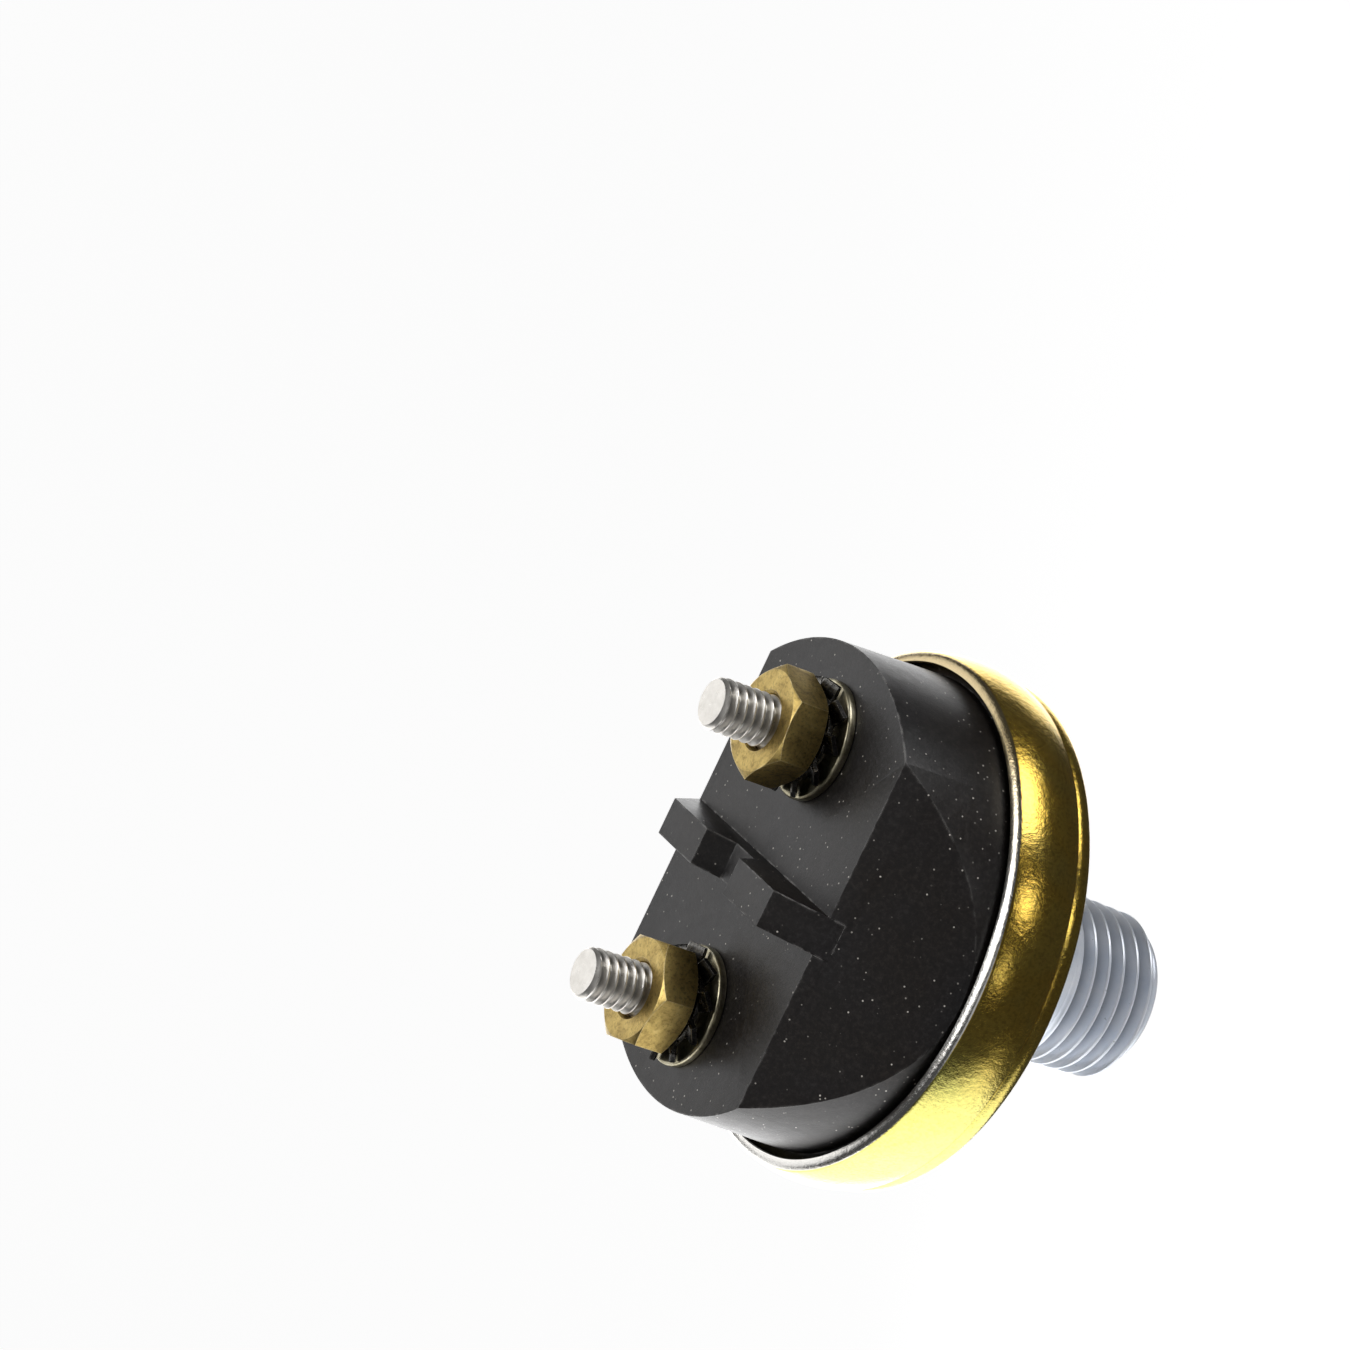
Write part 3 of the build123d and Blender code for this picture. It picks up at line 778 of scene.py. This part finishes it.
def lock_washer(letter):
    """Spring ring with external teeth, each twisted more towards its tip."""
    low, high = heights(f"lock_washer_{letter}")
    middle, thickness = (low + high) / 2, 0.5
    inner, root_r, tip_r, teeth = 2.2, 3.55, 4.7, 10
    bm = bmesh.new()
    half = thickness / 2
    profile = rounded([
        ((inner + root_r) / 2, middle - half), (root_r, middle - half), (root_r, middle + half),
        (inner, middle + half), (inner, middle - half), ((inner + root_r) / 2, middle - half)], 0.08, 3)
    add_lathe(bm, profile[:-1], 120, closed=True)
    steps = 8
    for tooth in range(teeth):
        turn = Matrix.Rotation(TAU * tooth / teeth + 0.2 * TERMINALS[letter], 4, "Z")
        sections = []
        for s in range(steps + 1):
            share = s / steps
            radius = root_r - 0.3 + (tip_r - root_r + 0.3) * share
            twist = math.radians(33) * min(1.0, share / 0.45)
            wide = 0.86 - 0.10 * share
            tall = half * (1.0 if share < 0.95 else 0.75)
            flat, side = wide - 0.08, tall * 0.6
            corners = [(-wide, -side), (-flat, -tall), (flat, -tall), (wide, -side),
                       (wide, side), (flat, tall), (-flat, tall), (-wide, side)]
            ring = []
            for across, up in corners:
                y = across * math.cos(twist) - up * math.sin(twist)
                z = across * math.sin(twist) + up * math.cos(twist)
                place = turn @ Vector((math.sqrt(max(radius**2 - y**2, 1)) * MM, y * MM, (middle + z) * MM))
                ring.append(bm.verts.new(place))
            sections.append(ring)
        for one, two in zip(sections, sections[1:]):
            for i in range(8):
                j = (i + 1) % 8
                bm.faces.new((one[i], one[j], two[j], two[i]))
        bm.faces.new(sections[0])
        bm.faces.new(sections[-1])
    return finished(bm, f"lock_washer_teeth_{letter}", TERMINALS[letter] * TERMINAL_Y)


# ---------------------------------------------------------------- assembling

steel = zinc_steel()
put(fitting_disc(), ROOT_BODY, steel, ["base_fitting"])
put(fitting_hex(), ROOT_BODY, steel, ["base_fitting"])
put(fitting_spigot(), ROOT_BODY, thread_steel(), ["base_fitting"])
chromate = yellow_chromate(RING_BOTTOM + 0.45, LIP_Z, RING_R - 0.52)
put(crimp_ring(), ROOT_BODY, chromate, ["crimp_ring"])
put(housing(), ROOT_BODY, black_phenolic(), ["housing"])

brass, oxide, washer_finish = machined_brass(), black_oxide(), pale_brass()
NUT_CLOCKING = {"a": 100.3, "b": 73.7}
for letter in TERMINALS:
    put(terminal_stud(letter), ROOT_BODY, bright_zinc(letter), [f"terminal_stud_{letter}"])
    put(flat_washer(letter), ROOT_BODY, washer_finish, [f"flat_washer_{letter}"])
    put(lock_washer(letter), f"lock_washer_body_{letter}", oxide, [f"lock_washer_{letter}"])
    put(terminal_nut(letter, NUT_CLOCKING[letter]), f"nut_body_{letter}", brass,
        [f"terminal_nut_{letter}"])

plain_steel = simple_finish("plain_steel", (0.32, 0.32, 0.32), (0.58, 0.58, 0.57), 1.0, 0.3, 0.5)
rubber = simple_finish("nitrile_rubber", (0.012, 0.012, 0.012), (0.035, 0.034, 0.033), 0.0, 0.6, 0.8)
silver = simple_finish("contact_silver", (0.62, 0.61, 0.58), (0.85, 0.84, 0.82), 1.0, 0.15, 0.35)
spring = simple_finish("spring_wire", (0.28, 0.28, 0.29), (0.52, 0.52, 0.53), 1.0, 0.25, 0.4)
KEPT_NODES = {
    "seal_ring": rubber,
    "diaphragm": simple_finish("diaphragm_film", (0.45, 0.24, 0.04), (0.62, 0.36, 0.08), 0.0, 0.25, 0.4),
    "stop_plate": plain_steel,
    "housing_gasket": simple_finish("gasket_fibre", (0.16, 0.13, 0.10), (0.30, 0.25, 0.19), 0.0, 0.7, 0.9),
    "pressure_plate": plain_steel,
    "plunger": simple_finish("brown_phenolic", (0.07, 0.03, 0.015), (0.15, 0.07, 0.03), 0.0, 0.4, 0.6),
    "guide_plate": plain_steel,
    "range_spring": spring,
    "contact_bridge": simple_finish(
        "phosphor_bronze", (0.45, 0.24, 0.11), (0.68, 0.40, 0.20), 1.0, 0.2, 0.4),
    "bridge_contacts": silver,
    "return_spring": spring,
    "stud_contact_a": silver,
    "stud_contact_b": silver,
    "stud_seal_a": rubber,
    "stud_seal_b": rubber,
}
for name, material in KEPT_NODES.items():
    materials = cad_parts[name].data.materials
    materials.clear()
    materials.append(material)

# ---------------------------------------------------------------- floor, light and camera

MIDDLE = Vector((0, 0, 0.025))
FLOOR_Z = -0.6
BACKDROP_R = 2.4


def floor():
    """Pale floor that curves up all round into a wall and a ceiling. It glows evenly by itself, and it
    neither lights the object nor shows in its reflections."""
    bm = bmesh.new()
    low, high = FLOOR_Z / MM, (FLOOR_Z + BACKDROP_R) / MM
    wide = BACKDROP_R / MM
    add_lathe(bm, [(0, low)] + rounded([
        (wide * 0.2, low), (wide, low, wide * 0.4), (wide, high, wide * 0.6), (wide * 0.2, high)], 1, 24)
        + [(0, high)], 96)
    obj = finished(bm, "floor")
    s = Surface("pale_floor", roughness=0.9)
    s.shader.inputs["Specular IOR Level"].default_value = 0.0
    tone = s.ramp(s.noise(0.0006, 2), (0.3, (0.90, 0.90, 0.90)), (0.7, (0.94, 0.94, 0.94)))
    s.colour(tone)
    s.feed(s.shader.inputs["Emission Color"], tone)
    s.shader.inputs["Emission Strength"].default_value = 1.0
    obj.data.materials.append(s.material)
    obj.visible_diffuse = obj.visible_glossy = obj.visible_transmission = False


def softbox(name, azimuth, elevation, distance, size, radiance, spread, mirrored=True):
    """Soft light facing the object. Azimuth is from +X towards +Y; size is across and upright. One that
    isn't mirrored lights dull surfaces only."""
    a, e = math.radians(azimuth), math.radians(elevation)
    away = Vector((math.cos(a) * math.cos(e), math.sin(a) * math.cos(e), math.sin(e)))
    light = bpy.data.lights.new(name, "AREA")
    light.shape, light.size, light.size_y = "RECTANGLE", size[0], size[1]
    light.energy, light.spread = radiance * math.pi * size[0] * size[1], math.radians(spread)
    obj = bpy.data.objects.new(name, light)
    bpy.context.scene.collection.objects.link(obj)
    obj.location = MIDDLE + away * distance
    obj.rotation_euler = away.to_track_quat("Z", "Y").to_euler()
    obj.visible_camera, obj.visible_glossy = False, mirrored


def surroundings(strength):
    """An even dim room."""
    world = bpy.data.worlds.new("room")
    bpy.context.scene.world = world
    world.use_nodes = True
    background = world.node_tree.nodes["Background"]
    background.inputs["Color"].default_value = (1, 1, 1, 1)
    background.inputs["Strength"].default_value = strength


CAMERA_PLACE = (0.3107, 0.0707, 0.2249)
CAMERA_TURN = (31.66, 55.04, 47.62)
CAMERA_LENS = 131.74


def camera():
    data = bpy.data.cameras.new("camera")
    data.lens, data.sensor_width = CAMERA_LENS, 36
    data.clip_start, data.clip_end = 0.01, 20
    obj = bpy.data.objects.new("camera", data)
    obj.location = CAMERA_PLACE
    obj.rotation_euler = [math.radians(a) for a in CAMERA_TURN]
    bpy.context.scene.collection.objects.link(obj)
    bpy.context.scene.camera = obj


floor()
surroundings(0.045)
# Arguments: azimuth, elevation, distance, (width, height), radiance, spread
softbox("left_wall", -94, -20, 0.6, (1.6, 1.1), 1.0, 130)
softbox("key", 78, 2, 0.55, (0.28, 0.36), 0.72, 80)
softbox("strip", 36, -9, 0.5, (0.07, 0.15), 0.6, 80)
softbox("small_strip", 8, -3, 0.5, (0.05, 0.08), 0.35, 80)
softbox("front_fill", -13, 45, 0.8, (0.6, 0.4), 0.14, 120)
softbox("low_fill", -20, -35, 0.6, (0.7, 0.5), 1.5, 120, mirrored=False)
softbox("overhead", 150, 76, 0.7, (0.5, 0.5), 0.75, 80)
softbox("back_high", 192, 33, 0.9, (1.2, 0.5), 0.5, 120)
softbox("back_low", 187, -24, 0.8, (1.5, 0.75), 1.0, 120)
camera()
bpy.context.scene.view_settings.view_transform = "Standard"
